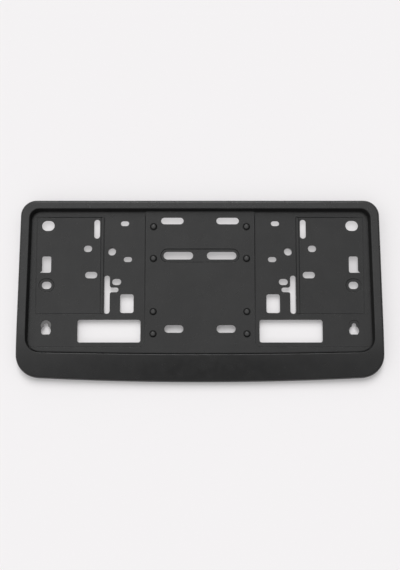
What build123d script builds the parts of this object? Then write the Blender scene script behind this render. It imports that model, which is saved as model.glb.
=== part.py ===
"""Number plate holder: one moulded frame with a sunk, slotted panel for a 380 x 160 mm plate.

It lies on its back. X runs along the plate, Y towards the plate's top edge, Z out of the front.
The origin is the middle of the back. All sizes are in millimetres and degrees. What is named here for
one side of the panel is repeated as a mirror image on the other.
"""
import math
import os

from build123d import *

# The number plate, and the pocket that takes it
PLATE_WIDTH = 380.0
PLATE_HEIGHT = 160.0
PLATE_SIDE_GAP = 0.8
PLATE_END_GAP = 0.3
SIDE_LEAN = 1.0
POCKET_BOW = 2.4
POCKET_FLARE = 1.15
POCKET_TOP_RADIUS = 9.5
POCKET_BOTTOM_RADIUS = 14.5

# The rim round the pocket, and the wide bar below it, which bends back towards its lower edge
RIM_TOP_WIDTH = 9.6
RIM_SIDE_WIDTH = 10.2
BAR_WIDTH = 30.4
BAR_BOW = 5.9
BAR_BEND_RISE = 34.0
BAR_BEND_RADIUS = 270.0
OUTER_TOP_RADIUS = 17.5
OUTER_BOTTOM_RADIUS = 25.0
OUTER_EDGE_BEVEL = 1.6

# Heights above the back, and the wall of the moulding
RIM_HEIGHT = 19.0
PANEL_HEIGHT = 8.0
MIDDLE_RAISE = 2.0
WALL = 2.2

# The sunk side fields, one each side of the raised middle
FIELD_INNER_X = 61.7
FIELD_BOTTOM_MARGIN = 5.7
FIELD_CORNER_RADIUS = 6.0

# Upright bolt slot in each side field, with a short branch towards the middle
BOLT_SPACING = 210.0
BOLT_SLOT_Y = -14.9
BOLT_SLOT_WIDTH = 6.6
BOLT_SLOT_LENGTH = 43.6
BRANCH_RISE = 5.4
BRANCH_WIDTH = 5.4
BRANCH_REACH = 13.1
BRANCH_FILLET = 2.4

# Round-ended slots. Each has its X from the datum given, the edge of the plate that its Y is measured
# from, that Y, its length along X and its length along Y.
# Near the plate's end: X is the inset from that end
END_SLOTS = {
    "corner_slot": (17.5, "top", -16.1, 14.4, 11.8),
    "seat_slot": (16.8, "middle", -4.3, 10.9, 8.4),
}
# Around the bolt slot: X is outwards from the bolt slot
FIELD_SLOTS = {
    "upright_slot": (11.9, "top", -19.9, 6.7, 22.0),
    "top_slot": (-19.7, "top", -13.5, 9.4, 5.8),
    "upper_slot": (22.0, "middle", 37.5, 9.4, 7.5),
    "middle_slot": (-23.3, "middle", 25.2, 9.5, 6.0),
    "lower_slot": (18.0, "middle", 7.4, 13.9, 7.6),
    "branch_slot": (-10.9, "middle", -0.5, 10.2, 7.2),
    "round_hole": (-5.2, "middle", 34.3, 9.2, 9.2),
}
# In the raised middle: X is from the centre line
MIDDLE_SLOTS = {
    "upper_pair": (31.4, "top", -10.8, 25.6, 7.8),
    "wide_pair": (24.5, "middle", 29.3, 33.4, 8.8),
    "lower_pair": (29.3, "bottom", 26.1, 21.5, 8.7),
}
# Wall of the collar behind the round hole
COLLAR_WALL = 1.8

# Windows in each side field
WINDOW_RADIUS = 2.6
LARGE_WINDOW_LENGTH = 70.9
LARGE_WINDOW_HEIGHT = 25.6
LARGE_WINDOW_MARGIN = 5.1
LARGE_WINDOW_RISE = 11.0
SMALL_WINDOW_LENGTH = 15.3
SMALL_WINDOW_HEIGHT = 21.4
SMALL_WINDOW_INSET = 22.6
SMALL_WINDOW_Y = -25.1

# Keyhole near each lower corner, its round part cut flat below
KEYHOLE_INSET = 17.0
KEYHOLE_RISE = 24.2
KEYHOLE_RADIUS = 5.6
KEYHOLE_FLAT = 4.2
KEYHOLE_STEM_WIDTH = 5.0
KEYHOLE_STEM_LENGTH = 8.7

# Catch hole near each end, with a pointed relief at its outer lower corner
CATCH_INSET = 16.4
CATCH_Y = 19.4
CATCH_WIDTH = 10.4
CATCH_LENGTH = 18.9
CATCH_CORNER_RADIUS = 2.2
CATCH_RELIEF = 2.6

# Shallow seats for screw heads, round some of the slots
SEAT_MARGIN = 3.4
SEAT_DEPTH = 0.8

# Area marked out on each side field by fine grooves, and by a raised ridge beside the bolt slot
AREA_TOP_MARGIN = 6.5
AREA_END_MARGIN = 5.1
GROOVE_WIDTH = 0.9
GROOVE_DEPTH = 0.4
RIDGE_OFFSET = 5.6
RIDGE_WIDTH = 3.5
RIDGE_RAISE = 0.9
RIDGE_SIDE_ANGLE = 68.0

# Studs in two columns on the raised middle
STUD_INSET = 9.1
STUD_ROWS = (("top", -17.6), ("middle", 25.9), ("middle", -34.5), ("bottom", 20.5))
STUD_RADIUS = 4.1
STUD_TOP_RADIUS = 2.3
STUD_HEIGHT = 2.6

# Ribs behind the panel, and gussets inside the hollow rim and bar
RIB_THICKNESS = 1.6
GUSSET_PITCH = 80.0
GUSSET_BACK_GAP = 3.0

# Overrun of cutting shapes past the surfaces that they cut, and how near counts as equal
OVERRUN = 1.0
TOLERANCE = 0.01

# Heights, edges and datums worked out from the sizes above
lean = math.tan(math.radians(SIDE_LEAN))
middle_height = PANEL_HEIGHT + MIDDLE_RAISE
pocket_height = PLATE_HEIGHT + 2 * PLATE_END_GAP + POCKET_BOW
overall_height = RIM_TOP_WIDTH + POCKET_FLARE + pocket_height + BAR_WIDTH
outer_top_y = overall_height / 2
outer_bottom_y = -overall_height / 2
pocket_top_y = outer_top_y - RIM_TOP_WIDTH - POCKET_FLARE
pocket_bottom_y = pocket_top_y - pocket_height
pocket_half_width = PLATE_WIDTH / 2 + PLATE_SIDE_GAP
outer_reach = pocket_half_width + POCKET_FLARE + RIM_SIDE_WIDTH + overall_height * lean
plate_end_x = PLATE_WIDTH / 2
plate_top_y = pocket_top_y - PLATE_END_GAP
plate_y = {
    "top": plate_top_y,
    "middle": plate_top_y - PLATE_HEIGHT / 2,
    "bottom": plate_top_y - PLATE_HEIGHT,
}
bolt_x = BOLT_SPACING / 2
bolt_slot_y = plate_y["middle"] + BOLT_SLOT_Y
area_top_y = plate_top_y - AREA_TOP_MARGIN
area_bottom_y = bolt_slot_y - BOLT_SLOT_LENGTH / 2
area_length = area_top_y - area_bottom_y
area_middle_y = (area_top_y + area_bottom_y) / 2
area_end_x = plate_end_x - AREA_END_MARGIN
ridge_x = bolt_x + RIDGE_OFFSET
keyhole_x = plate_end_x - KEYHOLE_INSET
keyhole_y = plate_y["bottom"] + KEYHOLE_RISE


def side_x(y, out):
    """Half width at height y of the line that runs a distance out from the pocket's leaning side."""
    return pocket_half_width + out + (pocket_top_y - y) * lean


def frame_outline(top_y, bottom_y, out, bow, top_radius, bottom_radius):
    """Face with a straight top, leaning sides and a bottom edge that bows down in the middle."""
    corner_y = bottom_y + bow
    top_x = side_x(top_y, out)
    bottom_x = side_x(corner_y, out)
    edges = [
        Line((-top_x, top_y), (top_x, top_y)),
        Line((top_x, top_y), (bottom_x, corner_y)),
        ThreePointArc((bottom_x, corner_y), (0, bottom_y), (-bottom_x, corner_y)),
        Line((-bottom_x, corner_y), (-top_x, top_y)),
    ]
    face = make_face(edges)
    middle_y = (top_y + bottom_y) / 2
    face = fillet([v for v in face.vertices() if v.Y > middle_y], top_radius)
    return fillet([v for v in face.vertices() if v.Y < corner_y + OVERRUN], bottom_radius)


def front_limit(inset):
    """Everything behind the front surface: flat over the rim, and bent back over the bar."""
    top_y = 2 * outer_top_y
    bend_y = pocket_bottom_y + BAR_BEND_RISE
    end_y = outer_bottom_y - OVERRUN
    flat_z = RIM_HEIGHT - inset
    back_z = -2 * OVERRUN
    turn = math.asin((bend_y - end_y) / BAR_BEND_RADIUS)

    def on_bend(angle):
        return bend_y - BAR_BEND_RADIUS * math.sin(angle), flat_z - BAR_BEND_RADIUS * (1 - math.cos(angle))

    edges = [
        Polyline(on_bend(turn), (end_y, back_z), (top_y, back_z), (top_y, flat_z), on_bend(0)),
        ThreePointArc(on_bend(0), on_bend(turn / 2), on_bend(turn)),
    ]
    return extrude(Plane.YZ * make_face(edges), amount=outer_reach, both=True)


def frame_form(inset, back_z):
    """The holder's outer form without its pocket, inset all round, from back_z to the front."""
    face = frame_outline(
        outer_top_y - inset,
        outer_bottom_y + inset,
        POCKET_FLARE + RIM_SIDE_WIDTH - inset,
        BAR_BOW,
        OUTER_TOP_RADIUS - inset,
        OUTER_BOTTOM_RADIUS - inset,
    )
    block = Pos(0, 0, back_z) * extrude(face, amount=RIM_HEIGHT - back_z)
    return block & front_limit(inset)


def pocket_section(z, grow):
    """Outline of the plate pocket at height z: its top and sides flare towards the front."""
    flare = POCKET_FLARE * (z - PANEL_HEIGHT) / (RIM_HEIGHT - PANEL_HEIGHT)
    face = frame_outline(
        pocket_top_y + flare + grow,
        pocket_bottom_y - grow,
        flare + grow,
        POCKET_BOW,
        POCKET_TOP_RADIUS + flare + grow,
        POCKET_BOTTOM_RADIUS + flare + grow,
    )
    return Pos(0, 0, z) * face


def field_block(grow, bottom_z, top_z):
    """Both side fields, grown towards the middle and the bar, open to the rim on the other sides."""
    inner_x = FIELD_INNER_X - grow
    bottom_y = plate_y["bottom"] + FIELD_BOTTOM_MARGIN - grow
    inner_corner = (inner_x, bottom_y)
    corners = [inner_corner, (outer_reach, bottom_y), (outer_reach, outer_top_y), (inner_x, outer_top_y)]
    face = make_face(Polyline(corners, close=True))
    nearest = face.vertices().sort_by_distance((*inner_corner, 0))[0]
    face = fillet(nearest, FIELD_CORNER_RADIUS + grow)
    right = Pos(0, 0, bottom_z) * extrude(face, amount=top_z - bottom_z)
    return right + mirror(right, Plane.YZ)


def pocket_form(grow):
    """The space of the plate pocket, grown by a wall: deeper over the side fields than in the middle."""
    bottom_z = PANEL_HEIGHT - grow
    step_z = middle_height - grow
    full = loft([pocket_section(bottom_z, grow), pocket_section(RIM_HEIGHT + OVERRUN, grow)], ruled=True)
    slab_depth = MIDDLE_RAISE + OVERRUN
    slab = Pos(0, 0, step_z - slab_depth / 2) * Box(2 * outer_reach, 2 * outer_top_y, slab_depth)
    return full - (slab - field_block(grow, step_z - slab_depth, step_z))


def is_level(edge):
    """True for an edge that runs along the front rather than up a wall."""
    run = edge % 0.5
    return abs(run.Z) < abs(run.X) + abs(run.Y)


def bevel_outer_edge(form):
    """Bevels the edge where the front meets the outer walls."""
    walls = [f for f in form.faces() if abs(f.normal_at().Z) < TOLERANCE]
    edges = [e for wall in walls for e in wall.edges() if is_level(e) and e.center().Z > OVERRUN]
    return chamfer(ShapeList(edges), OUTER_EDGE_BEVEL)


def both_sides(shape):
    """A shape on the right-hand side, with its mirror image on the left."""
    return [shape, mirror(shape, Plane.YZ)]


def round_slot(x, y, length_x, length_y):
    """Face of a round-ended slot, lying along X or standing along Y, or of a round hole."""
    if length_x == length_y:
        return Pos(x, y) * Circle(length_x / 2)
    if length_x > length_y:
        return Pos(x, y) * SlotOverall(length_x, length_y)
    return Pos(x, y) * SlotOverall(length_y, length_x, rotation=90)


def slot_places():
    """Middle and lengths of every plain slot on the right-hand side, as round_slot takes them."""
    places = [(plate_end_x - x, plate_y[edge] + y, *lengths) for x, edge, y, *lengths in END_SLOTS.values()]
    places += [(bolt_x + x, plate_y[edge] + y, *lengths) for x, edge, y, *lengths in FIELD_SLOTS.values()]
    places += [(x, plate_y[edge] + y, *lengths) for x, edge, y, *lengths in MIDDLE_SLOTS.values()]
    return places


def collar():
    """Collar behind the round hole, before the hole is cut through it."""
    x, edge, y, diameter, _ = FIELD_SLOTS["round_hole"]
    return Pos(bolt_x + x, plate_y[edge] + y) * extrude(Circle(diameter / 2 + COLLAR_WALL), amount=RIM_HEIGHT)


def bolt_slot():
    """Face of the upright bolt slot with its branch, the junction's inner corners rounded."""
    branch_y = bolt_slot_y + BRANCH_RISE
    upright = round_slot(bolt_x, bolt_slot_y, BOLT_SLOT_WIDTH, BOLT_SLOT_LENGTH)
    branch = round_slot(bolt_x - BRANCH_REACH / 2, branch_y, BRANCH_REACH, BRANCH_WIDTH)
    face = upright + branch
    inner_x = bolt_x - BOLT_SLOT_WIDTH / 2
    on_inner_side = [v for v in face.vertices() if abs(v.X - inner_x) < TOLERANCE]
    return fillet([v for v in on_inner_side if abs(v.Y - branch_y) < BRANCH_WIDTH], BRANCH_FILLET)


def windows():
    """Faces of the large window and the small one above it."""
    large_x = FIELD_INNER_X + LARGE_WINDOW_MARGIN + LARGE_WINDOW_LENGTH / 2
    large_y = plate_y["bottom"] + LARGE_WINDOW_RISE + LARGE_WINDOW_HEIGHT / 2
    small_x = bolt_x - SMALL_WINDOW_INSET
    small_y = plate_y["middle"] + SMALL_WINDOW_Y
    return [
        Pos(large_x, large_y) * RectangleRounded(LARGE_WINDOW_LENGTH, LARGE_WINDOW_HEIGHT, WINDOW_RADIUS),
        Pos(small_x, small_y) * RectangleRounded(SMALL_WINDOW_LENGTH, SMALL_WINDOW_HEIGHT, WINDOW_RADIUS),
    ]


def keyhole():
    """Face of the keyhole: a round part cut flat below, and a round-topped stem above."""
    round_part = Pos(keyhole_x, keyhole_y) * Circle(KEYHOLE_RADIUS)
    cut_y = keyhole_y - KEYHOLE_FLAT - KEYHOLE_RADIUS / 2
    below = Pos(keyhole_x, cut_y) * Rectangle(2 * KEYHOLE_RADIUS, KEYHOLE_RADIUS)
    stem = round_slot(keyhole_x, keyhole_y + KEYHOLE_STEM_LENGTH / 2, KEYHOLE_STEM_WIDTH, KEYHOLE_STEM_LENGTH)
    return round_part - below + stem


def catch_hole():
    """Face of the catch hole, with three round corners and a pointed relief at the fourth."""
    x = plate_end_x - CATCH_INSET
    y = plate_y["middle"] + CATCH_Y
    hole = Pos(x, y) * RectangleRounded(CATCH_WIDTH, CATCH_LENGTH, CATCH_CORNER_RADIUS)
    outer_x = x + CATCH_WIDTH / 2
    bottom_y = y - CATCH_LENGTH / 2
    inner = (outer_x - CATCH_CORNER_RADIUS, bottom_y)
    point = (outer_x + CATCH_RELIEF, bottom_y)
    upper = (outer_x, bottom_y + CATCH_RELIEF)
    return hole + make_face(Polyline(inner, point, upper, close=True))


def panel_holes():
    """Cutting shapes for every hole, right through the panel and what stands behind it."""
    faces = [round_slot(*place) for place in slot_places()]
    faces += [*windows(), bolt_slot(), keyhole(), catch_hole()]
    depth = middle_height + 2 * OVERRUN
    cuts = [Pos(0, 0, -OVERRUN) * extrude(face, amount=depth) for face in faces]
    return [half for cut in cuts for half in both_sides(cut)]


def seat(x, y, length_x, length_y, surface_z):
    """Cutting shape of a shallow round-ended seat sunk into a surface."""
    face = round_slot(x, y, length_x, length_y)
    return Pos(0, 0, surface_z - SEAT_DEPTH) * extrude(face, amount=SEAT_DEPTH + OVERRUN)


def screw_seats():
    """Seats round the seat slots, the keyhole stems and the wide pair of middle slots."""
    margin = 2 * SEAT_MARGIN
    inset, edge, y, along, up = END_SLOTS["seat_slot"]
    end_seat = seat(plate_end_x - inset, plate_y[edge] + y, along + margin, up + margin, PANEL_HEIGHT)
    stem_length = KEYHOLE_STEM_LENGTH + SEAT_MARGIN
    stem_width = KEYHOLE_STEM_WIDTH + margin
    stem_seat = seat(keyhole_x, keyhole_y + stem_length / 2, stem_width, stem_length, PANEL_HEIGHT)
    x, edge, y, along, up = MIDDLE_SLOTS["wide_pair"]
    wide_seat = seat(0, plate_y[edge] + y, 2 * x + along + margin, up + margin, middle_height)
    return both_sides(end_seat) + both_sides(stem_seat) + [wide_seat]


def grooves():
    """Fine grooves along the top, bottom and outer side of each marked-out area."""
    depth = GROOVE_DEPTH + OVERRUN
    z = PANEL_HEIGHT - GROOVE_DEPTH + depth / 2
    level = Box(area_end_x - ridge_x, GROOVE_WIDTH, depth)
    upright = Box(GROOVE_WIDTH, area_length + GROOVE_WIDTH, depth)
    cuts = [Pos((area_end_x + ridge_x) / 2, y, z) * level for y in (area_top_y, area_bottom_y)]
    cuts.append(Pos(area_end_x, area_middle_y, z) * upright)
    return [half for cut in cuts for half in both_sides(cut)]


def ridge():
    """Raised ridge beside the bolt slot, with sloping sides."""
    section = Trapezoid(RIDGE_WIDTH, RIDGE_RAISE, RIDGE_SIDE_ANGLE, align=(Align.CENTER, Align.MIN))
    root = Pos(0, -WALL / 2) * Rectangle(RIDGE_WIDTH, WALL / 2, align=(Align.CENTER, Align.MIN))
    bar = extrude(Plane.XZ * (section + root), amount=area_length / 2, both=True)
    return Pos(ridge_x, area_middle_y, PANEL_HEIGHT) * bar


def stud(y):
    """Stud with a sloping side and a flat top, standing on the raised middle."""
    standing = (Align.CENTER, Align.CENTER, Align.MIN)
    root = Pos(0, 0, -WALL / 2) * Cylinder(STUD_RADIUS, WALL / 2, align=standing)
    top = Cone(STUD_RADIUS, STUD_TOP_RADIUS, STUD_HEIGHT, align=standing)
    return Pos(FIELD_INNER_X - STUD_INSET, y, middle_height) * (root + top)


def back_ribs(hollow):
    """Ribs and collars behind the panel and gussets in the rim, trimmed to the hollow they stand in."""
    rib_x = bolt_x + BOLT_SLOT_WIDTH / 2 + RIB_THICKNESS / 2
    plates = both_sides(Pos(rib_x, area_middle_y) * Box(RIB_THICKNESS, area_length, 2 * RIM_HEIGHT))
    plates += both_sides(collar())

    gusset_z = GUSSET_BACK_GAP + RIM_HEIGHT / 2
    top_reach = 2 * (outer_top_y - pocket_top_y)
    bar_reach = 2 * (pocket_bottom_y + WALL - outer_bottom_y)
    columns = int((pocket_half_width - POCKET_BOTTOM_RADIUS) / GUSSET_PITCH)
    for column in range(-columns, columns + 1):
        x = column * GUSSET_PITCH
        plates.append(Pos(x, outer_top_y, gusset_z) * Box(RIB_THICKNESS, top_reach, RIM_HEIGHT))
        plates.append(Pos(x, outer_bottom_y, gusset_z) * Box(RIB_THICKNESS, bar_reach, RIM_HEIGHT))

    side_reach = 2 * (RIM_SIDE_WIDTH + POCKET_FLARE)
    rows = int((pocket_height / 2 - POCKET_BOTTOM_RADIUS) / GUSSET_PITCH)
    for row in range(-rows, rows + 1):
        y = plate_y["middle"] + row * GUSSET_PITCH
        gusset = Box(side_reach, RIB_THICKNESS, RIM_HEIGHT)
        plates += both_sides(Pos(side_x(y, side_reach / 2), y, gusset_z) * gusset)
    return hollow & (plates[0] + plates[1:])


def plate_holder():
    """The whole moulding."""
    shell = bevel_outer_edge(frame_form(0, 0)) - pocket_form(0)
    shell -= frame_form(WALL, -OVERRUN) - pocket_form(WALL)
    ribs = back_ribs(frame_form(WALL, 0) - pocket_form(WALL))
    studs = [half for edge, y in STUD_ROWS for half in both_sides(stud(plate_y[edge] + y))]
    return shell + ribs + both_sides(ridge()) + studs - screw_seats() - grooves() - panel_holes()


os.makedirs("parts", exist_ok=True)
holder = plate_holder()
export_step(holder, "parts/plate_holder.step")
print("volume", round(holder.volume), "solids", len(holder.solids()), "size", holder.bounding_box().size)
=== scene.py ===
"""Looks of the number plate holder: fine-grained black plastic on a pale floor, under soft studio light.

Everything is in metres, in the frame of the part: it lies on its back on the floor, with X along the
plate, Y towards the plate's top edge and Z out of the front.
"""
import math

import bpy
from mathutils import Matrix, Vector

MM = 0.001

# The photograph's camera: image height and focal length in pixels, sensor size in millimetres, the point
# that it is aimed at, its distance from there and its tilt from straight above
IMAGE_HEIGHT = 570
FOCAL_PIXELS = 1053
SENSOR = 36.0
CAMERA_AIM = Vector((0, 6.95, 8.0)) * MM
CAMERA_DISTANCE = 1187.8 * MM
CAMERA_TILT = math.radians(7.8)

# Floor: linear colour, size, and the share of its light that shines up through it
FLOOR_COLOUR = (0.896, 0.880, 0.888, 1)
FLOOR_SIZE = 120.0
FLOOR_GLOW = 0.19
# Under the holder, inside its rim, that share grows through a range of Y: painted light, which lifts the
# holder's shade seen through its holes so that they look even. There this glow is dimmer, but hardly so
# under the plate's top edge, through another range of Y.
UNDER_PAINTED_LIGHT = 0.60
UNDER_LOW = Vector((-192, -85)) * MM
UNDER_HIGH = Vector((192, 95)) * MM
UNDER_Y = (-12 * MM, 8 * MM)
UNDER_DIMMING = 0.34
TOP_DIMMING = 0.02
TOP_Y = (50 * MM, 85 * MM)

# Light tent: its brightness overhead, the share lost down to the horizon, how it grows along X and Y, and
# the darker gap where the camera looks in, a bell curve given by its depth, its middle and its spread
TENT_COLOUR = (1, 1, 1, 1)
TENT_LEVEL = 0.93
TENT_FALL = 0.75
TENT_SLOPE_X = -0.55
TENT_SLOPE_Y = 0.15
GAP_DEPTH = 0.80
GAP_Y = -0.28
GAP_SPREAD_X = 0.09
GAP_SPREAD_Y = 0.17
BELL_EXPONENT = -0.5

# Distant lamps above the plate's top edge: azimuth, elevation, share of light, angular size in degrees, and
# whether reflections show them
LAMPS = {
    "key": (92, 68, 0.328, 25, False),
    "edge": (92, 50, 0.20, 20, True),
}

# The plastic: linear colours of the darker and lighter patches on its panel and bar and on its rim, of steep
# walls, darker as painted shade, of inner corners, darker as painted shade, of worn edges, also used as a
# painted highlight on the studs' tops, and of a paler seat
PANEL_DARK = (0.0080, 0.0080, 0.0082, 1)
PANEL_LIGHT = (0.0112, 0.0112, 0.0113, 1)
RIM_DARK = (0.0150, 0.0150, 0.0152, 1)
RIM_LIGHT = (0.0184, 0.0184, 0.0185, 1)
PLASTIC_WALL_SHADE = (0.0050, 0.0050, 0.0051, 1)
PLASTIC_CORNER_SHADE = (0.0015, 0.0015, 0.0016, 1)
PLASTIC_WORN_AND_HIGHLIGHT = (0.0300, 0.0300, 0.0300, 1)
PLASTIC_PALE_SEAT = (0.120, 0.118, 0.118, 1)
# Its gloss, its roughness on the front, on steep walls, in inner corners and on worn edges and the studs'
# painted highlights, and how much the front's roughness varies
GLOSS = 0.575
FRONT_ROUGHNESS = 0.25
WALL_ROUGHNESS = 0.75
CORNER_ROUGHNESS = 1.0
WORN_AND_HIGHLIGHT_ROUGHNESS = 0.20
ROUGHNESS_SPREAD = 0.05
# Its moulding grain
GRAIN_SIZE = 0.35 * MM
GRAIN_HEIGHT = 0.012 * MM
GRAIN_DETAIL = 3
# Its patches of colour, gloss and wear: their size, their detail, and the range of the noise, which keeps
# around 0.5, through which they fade in
COLOUR_PATCH_SIZE = 22 * MM
GLOSS_PATCH_SIZE = 8 * MM
PATCH_DETAIL = 4
PATCH_RANGE = (0.3, 0.7)
WEAR_PATCH_SIZE = 5 * MM
WEAR_PATCH_DETAIL = 3
WEAR_PATCH_RANGE = (0.35, 0.65)
# Reach of wear from an edge, and of the painted shade and dull finish from an inner corner and from the foot
# of the pocket's lower wall. Each grows as the open share of the space within its reach falls through a
# range.
WEAR_REACH = 0.7 * MM
WEAR_OPEN = (0.95, 0.55)
CORNER_REACH = 1.4 * MM
LIP_CORNER_REACH = 3.0 * MM
CORNER_OPEN = (0.96, 0.70)
OPEN_SAMPLES = 8
# The painted shade and dull finish of inner corners grow through these ranges of distance from the middle
# along
# X and of Y, end below the pocket's top edge, and grow again at the foot of its lower wall
CORNER_FADE_X = (190 * MM, 165 * MM)
CORNER_FADE_Y = (-75 * MM, 30 * MM)
CORNER_END_Y = (89 * MM, 84 * MM)
CORNER_LIP_Y = (-60 * MM, -68 * MM)
# A face counts as a wall as the upright part of its normal falls through this range
WALL_FACING = (0.55, 0.30)

# Rounding of the moulding's edges: on the lip of the pocket and the studs, on the lip in the pocket's lower
# corners, on other edges of the rim and bar, and elsewhere on the panel
LIP_ROUNDING = 1.0 * MM
LIP_CORNER_ROUNDING = 0.45 * MM
RIM_ROUNDING = 0.9 * MM
EDGE_ROUNDING = 0.18 * MM
ROUNDING_STEPS = 3
# An edge is rounded if it turns by more than the first angle, and a lip's edge turns by more than the second
SHARP_ANGLE = math.radians(28)
LIP_ANGLE = math.radians(60)
FLAT_ANGLE = math.radians(0.5)
WELD_DISTANCE = 0.001 * MM
# The rim lies outside these lines, and its front above a height
RIM_FROM_X = 187.5 * MM
RIM_ABOVE_Y = 88.2 * MM
RIM_BELOW_Y = -66.8 * MM
FRONT_ABOVE_Z = 8.5 * MM
# Inside those lines only the studs stand above the first height, and nothing above the second
STUDS_ABOVE_Z = 11.0 * MM
RIM_ABOVE_Z = 13.5 * MM
# Edges below this height, at the panel's back and behind it, stay sharp
SHARP_BELOW_Z = 6.5 * MM
# The pocket's lower corners lie outside this X and below this Y
LIP_CORNER_X = 176 * MM
LIP_CORNER_Y = -45 * MM
# The studs' tops are painted paler, a painted highlight, as they rise through this range
STUD_HIGHLIGHT_Z = (11.2 * MM, 12.4 * MM)
# The rim's paler tone fades towards the bar through this range of Y
RIM_FADE_Y = (-85 * MM, -25 * MM)
# Box round the floor of the seat at the left keyhole, which is made paler
PALE_SEAT_LOW = Vector((-180, -46, 7.0)) * MM
PALE_SEAT_HIGH = Vector((-166, -31, 7.5)) * MM


def new_material(name):
    """A material with an empty node tree, and its tree."""
    material = bpy.data.materials.new(name)
    material.use_nodes = True
    material.node_tree.nodes.clear()
    return material, material.node_tree


def add(tree, kind, **settings):
    """A node of that kind, with its settings."""
    node = tree.nodes.new(kind)
    for name, value in settings.items():
        setattr(node, name, value)
    return node


def calculate(tree, operation, first, second=0):
    """Output of a Math node. Each of its two inputs is a number or another node's output."""
    node = add(tree, "ShaderNodeMath", operation=operation)
    for socket, value in zip(node.inputs, (first, second)):
        if isinstance(value, (int, float)):
            socket.default_value = value
        else:
            tree.links.new(value, socket)
    return node.outputs[0]


def combine(tree, operation, first, *others):
    """Output of a chain of Math nodes, such as the product or the largest of several inputs."""
    for other in others:
        first = calculate(tree, operation, first, other)
    return first


def above(tree, value, limit):
    """1 where a value is above a limit, 0 elsewhere."""
    return calculate(tree, "GREATER_THAN", value, limit)


def below(tree, value, limit):
    """1 where a value is below a limit, 0 elsewhere."""
    return calculate(tree, "LESS_THAN", value, limit)


def sum_of_squares(tree, *values):
    """Sum of the squares of some outputs."""
    squares = [calculate(tree, "POWER", value, 2) for value in values]
    return combine(tree, "ADD", *squares)


def split_vector(tree, vector):
    """The three parts of a vector output."""
    node = add(tree, "ShaderNodeSeparateXYZ")
    tree.links.new(vector, node.inputs["Vector"])
    return node.outputs


def ramp(tree, value, low, high):
    """0 where a value is at low, 1 where it is at high, a smooth change between and level outside."""
    node = add(tree, "ShaderNodeMapRange", interpolation_type="SMOOTHSTEP")
    tree.links.new(value, node.inputs["Value"])
    node.inputs["From Min"].default_value = low
    node.inputs["From Max"].default_value = high
    return node.outputs["Result"]


def noise(tree, place, size, detail):
    """Soft random pattern around 0.5, with features of that size."""
    node = add(tree, "ShaderNodeTexNoise")
    node.inputs["Scale"].default_value = 1 / size
    node.inputs["Detail"].default_value = detail
    tree.links.new(place, node.inputs["Vector"])
    return node.outputs["Fac"]


def blend(tree, share, first, second):
    """First input where the share is 0, second where it is 1. Each is a number, a colour or an output."""
    is_colour = not isinstance(second, (int, float))
    node = add(tree, "ShaderNodeMix", data_type="RGBA" if is_colour else "FLOAT")
    tree.links.new(share, node.inputs["Factor"])
    sockets = [s for s in node.inputs if s.enabled and s.name in ("A", "B")]
    for socket, value in zip(sockets, (first, second)):
        if isinstance(value, (int, float, tuple)):
            socket.default_value = value
        else:
            tree.links.new(value, socket)
    return next(s for s in node.outputs if s.enabled)


def inside_box(tree, parts, low, high):
    """1 inside a box, 0 outside it."""
    shares = []
    for part, least, most in zip(parts, low, high):
        shares += [above(tree, part, least), below(tree, part, most)]
    return combine(tree, "MULTIPLY", *shares)


def edge_weights():
    """Node group that gives each outward edge its share of the widest rounding and keeps others sharp."""
    group = bpy.data.node_groups.new("edge_weights", "GeometryNodeTree")
    for direction in ("INPUT", "OUTPUT"):
        group.interface.new_socket("Geometry", in_out=direction, socket_type="NodeSocketGeometry")
    link = group.links.new
    start = add(group, "NodeGroupInput")
    end = add(group, "NodeGroupOutput")
    angle = add(group, "GeometryNodeInputMeshEdgeAngle").outputs["Signed Angle"]
    x, y, z = split_vector(group, add(group, "GeometryNodeInputPosition").outputs["Position"])
    aside = calculate(group, "ABSOLUTE", x)

    side = above(group, aside, RIM_FROM_X)
    top = above(group, y, RIM_ABOVE_Y)
    bar = below(group, y, RIM_BELOW_Y)
    rim = combine(group, "MAXIMUM", side, top, bar)
    front = combine(group, "MULTIPLY", rim, above(group, z, FRONT_ABOVE_Z))
    lip = combine(group, "MULTIPLY", above(group, z, RIM_ABOVE_Z), above(group, angle, LIP_ANGLE))
    low_corner = [above(group, aside, LIP_CORNER_X), below(group, y, LIP_CORNER_Y)]
    lip_corner = combine(group, "MULTIPLY", lip, *low_corner)
    stud = combine(group, "MULTIPLY", above(group, z, STUDS_ABOVE_Z), calculate(group, "SUBTRACT", 1, rim))

    share = blend(group, front, EDGE_ROUNDING / LIP_ROUNDING, RIM_ROUNDING / LIP_ROUNDING)
    share = combine(group, "MAXIMUM", share, lip, stud)
    share = blend(group, lip_corner, share, LIP_CORNER_ROUNDING / LIP_ROUNDING)
    rounded = [above(group, z, SHARP_BELOW_Z), above(group, angle, SHARP_ANGLE)]
    weight = combine(group, "MULTIPLY", share, *rounded)

    store = add(group, "GeometryNodeStoreNamedAttribute", data_type="FLOAT", domain="EDGE")
    store.inputs["Name"].default_value = "bevel_weight_edge"
    link(start.outputs["Geometry"], store.inputs["Geometry"])
    link(weight, store.inputs["Value"])
    normals = add(group, "GeometryNodeSetMeshNormal", mode="SHARPNESS")
    link(store.outputs["Geometry"], normals.inputs["Mesh"])
    link(below(group, angle, -SHARP_ANGLE), normals.inputs["Edge Sharpness"])
    link(normals.outputs["Mesh"], end.inputs["Geometry"])
    return group


def round_edges(piece):
    """Rounds the moulding's outward edges a little, as a mould leaves them."""
    weld = piece.modifiers.new("weld", "WELD")
    weld.merge_threshold = WELD_DISTANCE
    flatten = piece.modifiers.new("flatten", "DECIMATE")
    flatten.decimate_type = "DISSOLVE"
    flatten.angle_limit = FLAT_ANGLE
    piece.modifiers.new("weights", "NODES").node_group = edge_weights()
    rounding = piece.modifiers.new("rounding", "BEVEL")
    rounding.limit_method = "WEIGHT"
    rounding.width = LIP_ROUNDING
    rounding.segments = ROUNDING_STEPS
    rounding.use_clamp_overlap = False
    rounding.loop_slide = False
    piece.modifiers.new("normals", "WEIGHTED_NORMAL").keep_sharp = True


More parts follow.
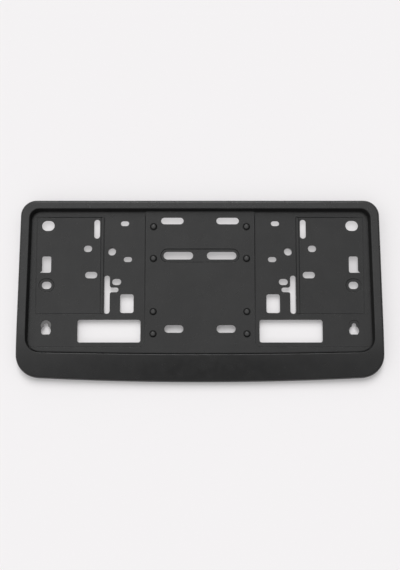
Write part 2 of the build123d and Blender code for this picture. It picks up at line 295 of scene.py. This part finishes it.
def edge_wear(tree, place):
    """Up to 1 along outward edges, in patches: there the space inside the moulding is thin."""
    open_share = add(tree, "ShaderNodeAmbientOcclusion", inside=True, only_local=True, samples=OPEN_SAMPLES)
    open_share.inputs["Distance"].default_value = WEAR_REACH
    near_edge = ramp(tree, open_share.outputs["AO"], *WEAR_OPEN)
    patches = ramp(tree, noise(tree, place, WEAR_PATCH_SIZE, WEAR_PATCH_DETAIL), *WEAR_PATCH_RANGE)
    return calculate(tree, "MULTIPLY", near_edge, patches)


def inner_corners(tree, parts):
    """Up to 1 in inner corners, which are painted darker as shade and made dull: there the space outside is
    thin.
    """
    open_share = add(tree, "ShaderNodeAmbientOcclusion", only_local=True, samples=OPEN_SAMPLES)
    lip = ramp(tree, parts["Y"], *CORNER_LIP_Y)
    tree.links.new(blend(tree, lip, CORNER_REACH, LIP_CORNER_REACH), open_share.inputs["Distance"])
    corner = ramp(tree, open_share.outputs["AO"], *CORNER_OPEN)
    across = ramp(tree, calculate(tree, "ABSOLUTE", parts["X"]), *CORNER_FADE_X)
    up = ramp(tree, parts["Y"], *CORNER_FADE_Y)
    down = ramp(tree, parts["Y"], *CORNER_END_Y)
    panel = combine(tree, "MULTIPLY", across, up, down)
    return calculate(tree, "MULTIPLY", corner, calculate(tree, "MAXIMUM", panel, lip))


def stud_tops(tree, parts):
    """Up to 1 on the tops of the studs, painted paler as a highlight; they are all that stands that high
    inside the rim.
    """
    low = (-RIM_FROM_X, RIM_BELOW_Y, STUD_HIGHLIGHT_Z[0])
    high = (RIM_FROM_X, RIM_ABOVE_Y, RIM_ABOVE_Z)
    return calculate(tree, "MULTIPLY", inside_box(tree, parts, low, high), ramp(tree, parts["Z"], *STUD_HIGHLIGHT_Z))


def plastic_material():
    """Black plastic with a fine spark-eroded grain, uneven in tone and gloss, and worn along its edges."""
    material, tree = new_material("black_plastic")
    link = tree.links.new
    output = add(tree, "ShaderNodeOutputMaterial")
    shader = add(tree, "ShaderNodeBsdfPrincipled")
    shader.inputs["Specular IOR Level"].default_value = GLOSS
    link(shader.outputs["BSDF"], output.inputs["Surface"])

    coordinates = add(tree, "ShaderNodeTexCoord").outputs
    place = coordinates["Object"]
    parts = split_vector(tree, place)
    upright = calculate(tree, "ABSOLUTE", split_vector(tree, coordinates["Normal"])["Z"])
    wall = ramp(tree, upright, *WALL_FACING)
    corner = inner_corners(tree, parts)
    # Paler along worn edges, and on the studs' tops as a painted highlight
    wear_and_highlight = calculate(tree, "MAXIMUM", edge_wear(tree, place), stud_tops(tree, parts))
    # The floor of the seat at the left keyhole is made paler
    pale_seat = inside_box(tree, parts, PALE_SEAT_LOW, PALE_SEAT_HIGH)
    rim_front = above(tree, parts["Z"], RIM_ABOVE_Z)
    rim = calculate(tree, "MULTIPLY", rim_front, ramp(tree, parts["Y"], *RIM_FADE_Y))

    tone = ramp(tree, noise(tree, place, COLOUR_PATCH_SIZE, PATCH_DETAIL), *PATCH_RANGE)
    panel_colour = blend(tree, tone, PANEL_DARK, PANEL_LIGHT)
    rim_colour = blend(tree, tone, RIM_DARK, RIM_LIGHT)
    colour = blend(tree, rim, panel_colour, rim_colour)
    # Steep walls take a darker colour: painted shade.
    colour = blend(tree, wall, colour, PLASTIC_WALL_SHADE)
    # Inner corners and the foot of the pocket's lower wall take a darker colour: painted shade.
    colour = blend(tree, corner, colour, PLASTIC_CORNER_SHADE)
    colour = blend(tree, wear_and_highlight, colour, PLASTIC_WORN_AND_HIGHLIGHT)
    colour = blend(tree, pale_seat, colour, PLASTIC_PALE_SEAT)
    link(colour, shader.inputs["Base Color"])

    dullest = FRONT_ROUGHNESS + ROUGHNESS_SPREAD / 2
    glossiest = FRONT_ROUGHNESS - ROUGHNESS_SPREAD / 2
    gloss = ramp(tree, noise(tree, place, GLOSS_PATCH_SIZE, PATCH_DETAIL), *PATCH_RANGE)
    roughness = blend(tree, gloss, dullest, glossiest)
    roughness = blend(tree, wear_and_highlight, roughness, WORN_AND_HIGHLIGHT_ROUGHNESS)
    roughness = blend(tree, wall, roughness, WALL_ROUGHNESS)
    roughness = blend(tree, corner, roughness, CORNER_ROUGHNESS)
    link(roughness, shader.inputs["Roughness"])

    bump = add(tree, "ShaderNodeBump")
    bump.inputs["Distance"].default_value = GRAIN_HEIGHT
    link(noise(tree, place, GRAIN_SIZE, GRAIN_DETAIL), bump.inputs["Height"])
    link(bump.outputs["Normal"], shader.inputs["Normal"])
    return material


def floor_material():
    """Plain pale floor that shines through a little where it is looked at and keeps the holder's shadow, but
    is painted lighter under the holder, lifting the shade seen through its holes.
    """
    material, tree = new_material("pale_floor")
    link = tree.links.new
    output = add(tree, "ShaderNodeOutputMaterial")
    matte = add(tree, "ShaderNodeBsdfDiffuse")
    matte.inputs["Color"].default_value = FLOOR_COLOUR
    glow = add(tree, "ShaderNodeEmission")
    glow.inputs["Color"].default_value = FLOOR_COLOUR
    path = add(tree, "ShaderNodeLightPath").outputs
    rays = [path[name] for name in ("Is Camera Ray", "Is Glossy Ray", "Is Transmission Ray")]
    looked_at = combine(tree, "MAXIMUM", *rays)

    parts = split_vector(tree, add(tree, "ShaderNodeTexCoord").outputs["Object"])
    # Painted light: under the holder the floor glows more, lifting its shade seen through the holes.
    under_holder = inside_box(tree, parts, UNDER_LOW, UNDER_HIGH)
    under = calculate(tree, "MULTIPLY", under_holder, ramp(tree, parts["Y"], *UNDER_Y))
    dimming = blend(tree, ramp(tree, parts["Y"], *TOP_Y), UNDER_DIMMING, TOP_DIMMING)
    level = calculate(tree, "SUBTRACT", 1, calculate(tree, "MULTIPLY", under, dimming))
    link(level, glow.inputs["Strength"])
    glow_share = blend(tree, under, FLOOR_GLOW, UNDER_PAINTED_LIGHT)

    mix = add(tree, "ShaderNodeMixShader")
    link(calculate(tree, "MULTIPLY", looked_at, glow_share), mix.inputs["Fac"])
    link(matte.outputs["BSDF"], mix.inputs[1])
    link(glow.outputs["Emission"], mix.inputs[2])
    link(mix.outputs["Shader"], output.inputs["Surface"])
    return material


def add_floor():
    """Floor that the holder lies on."""
    half = FLOOR_SIZE / 2
    corners = [(-half, -half, 0), (half, -half, 0), (half, half, 0), (-half, half, 0)]
    mesh = bpy.data.meshes.new("floor")
    mesh.from_pydata(corners, [], [(0, 1, 2, 3)])
    floor = bpy.data.objects.new("floor", mesh)
    floor.data.materials.append(floor_material())
    bpy.context.scene.collection.objects.link(floor)


def add_lamps():
    """Distant soft lamps, so that the floor is lit evenly and the shadows fall towards the bar."""
    for name, (azimuth, elevation, share, angle, reflected) in LAMPS.items():
        light = bpy.data.lights.new(name, "SUN")
        light.energy = share * math.pi
        light.angle = math.radians(angle)
        lamp = bpy.data.objects.new(name, light)
        lamp.rotation_euler = (math.radians(90 - elevation), 0, math.radians(azimuth + 90))
        lamp.visible_glossy = reflected
        bpy.context.scene.collection.objects.link(lamp)


def set_world():
    """Light tent all round, with a darker gap where the camera looks in."""
    world = bpy.data.worlds.new("tent")
    bpy.context.scene.world = world
    world.use_nodes = True
    tree = world.node_tree
    tree.nodes.clear()
    output = add(tree, "ShaderNodeOutputWorld")
    tent = add(tree, "ShaderNodeBackground")
    tent.inputs["Color"].default_value = TENT_COLOUR
    x, y, _ = split_vector(tree, add(tree, "ShaderNodeTexCoord").outputs["Generated"])

    across = calculate(tree, "DIVIDE", x, GAP_SPREAD_X)
    along = calculate(tree, "DIVIDE", calculate(tree, "SUBTRACT", y, GAP_Y), GAP_SPREAD_Y)
    squares = sum_of_squares(tree, across, along)
    gap = calculate(tree, "EXPONENT", calculate(tree, "MULTIPLY", squares, BELL_EXPONENT))
    loss = calculate(tree, "MULTIPLY", sum_of_squares(tree, x, y), TENT_FALL)
    fall = calculate(tree, "SUBTRACT", 1, loss)
    slope_x = calculate(tree, "MULTIPLY", x, TENT_SLOPE_X)
    slope_y = calculate(tree, "MULTIPLY", y, TENT_SLOPE_Y)
    slope = combine(tree, "ADD", slope_x, slope_y, 1)
    level = combine(tree, "MULTIPLY", fall, slope, TENT_LEVEL)
    level = calculate(tree, "SUBTRACT", level, calculate(tree, "MULTIPLY", gap, GAP_DEPTH))
    tree.links.new(level, tent.inputs["Strength"])
    tree.links.new(tent.outputs["Background"], output.inputs["Surface"])


def add_camera():
    """Camera at the photograph's angle: nearly straight above, a little towards the lower bar."""
    data = bpy.data.cameras.new("camera")
    data.sensor_width = SENSOR
    data.lens = FOCAL_PIXELS * SENSOR / IMAGE_HEIGHT
    camera = bpy.data.objects.new("camera", data)
    back = Vector((0, -math.sin(CAMERA_TILT), math.cos(CAMERA_TILT)))
    camera.location = CAMERA_AIM + back * CAMERA_DISTANCE
    camera.rotation_euler = (CAMERA_TILT, 0, 0)
    bpy.context.scene.collection.objects.link(camera)
    bpy.context.scene.camera = camera


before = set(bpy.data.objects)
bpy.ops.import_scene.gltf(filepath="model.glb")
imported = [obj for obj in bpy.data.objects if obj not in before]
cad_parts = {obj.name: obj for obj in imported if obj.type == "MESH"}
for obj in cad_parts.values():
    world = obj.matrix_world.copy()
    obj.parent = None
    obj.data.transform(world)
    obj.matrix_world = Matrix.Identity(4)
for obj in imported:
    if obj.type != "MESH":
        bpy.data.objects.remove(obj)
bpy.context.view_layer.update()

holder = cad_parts["plate_holder"]
holder.data.materials.clear()
holder.data.materials.append(plastic_material())
round_edges(holder)

add_floor()
add_lamps()
set_world()
add_camera()
bpy.context.scene.view_settings.view_transform = "Standard"
